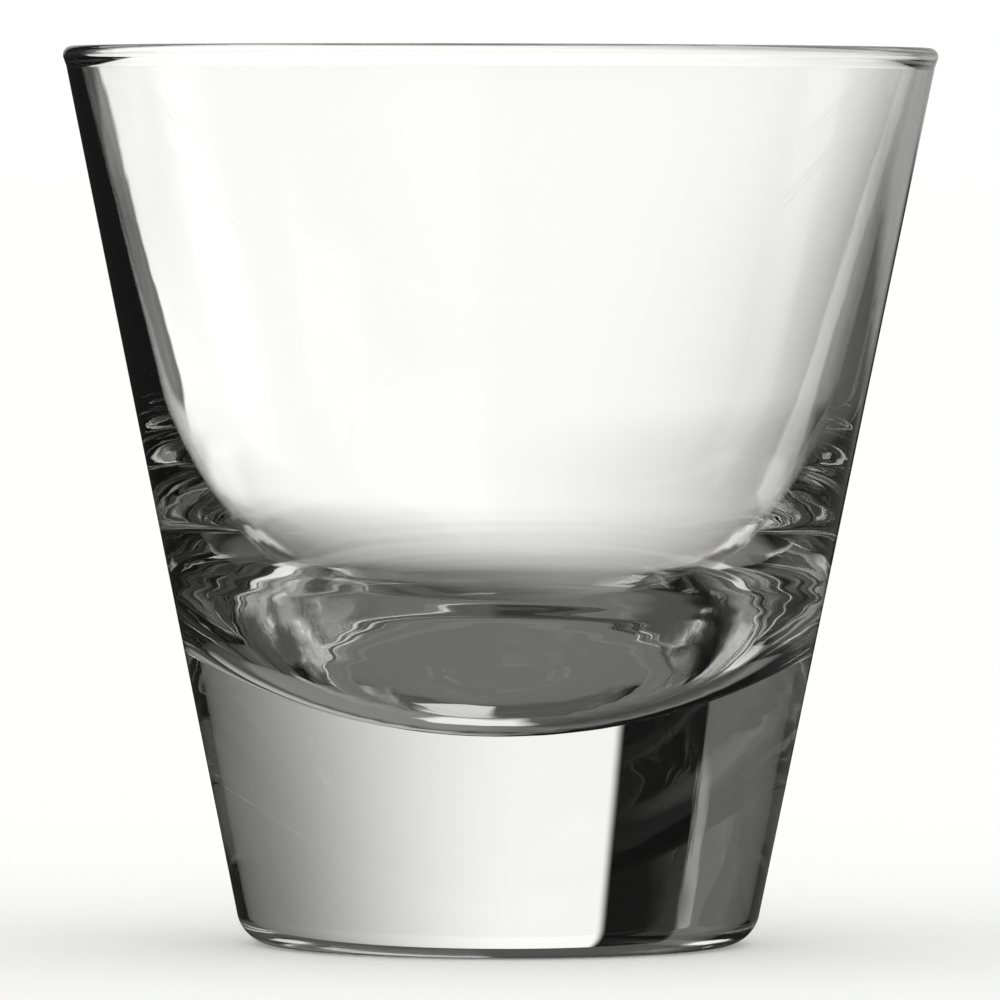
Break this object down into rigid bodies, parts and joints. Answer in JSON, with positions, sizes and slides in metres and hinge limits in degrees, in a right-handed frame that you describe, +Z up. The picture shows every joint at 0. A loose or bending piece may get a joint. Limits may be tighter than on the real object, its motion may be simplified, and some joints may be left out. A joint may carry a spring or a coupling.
{
  "type": "cocktail tumbler",
  "caption": "Heavy-based drinking tumbler with straight sides that narrow to a thick solid foot, a rounded bowl inside and a thin wall with a rounded rim.",
  "frame": {"origin": "centre of the standing ring, on the table", "axes": "+Z up along the glass's axis of symmetry, out of its mouth; +X and +Y are any two radii at right angles"},
  "size_m": [0.09, 0.09, 0.0923],
  "materials": {
    "glass": "clear, smooth and bright"
  },
  "bodies": {
    "root": {"glass_body": "glass"}
  },
  "joints": []
}
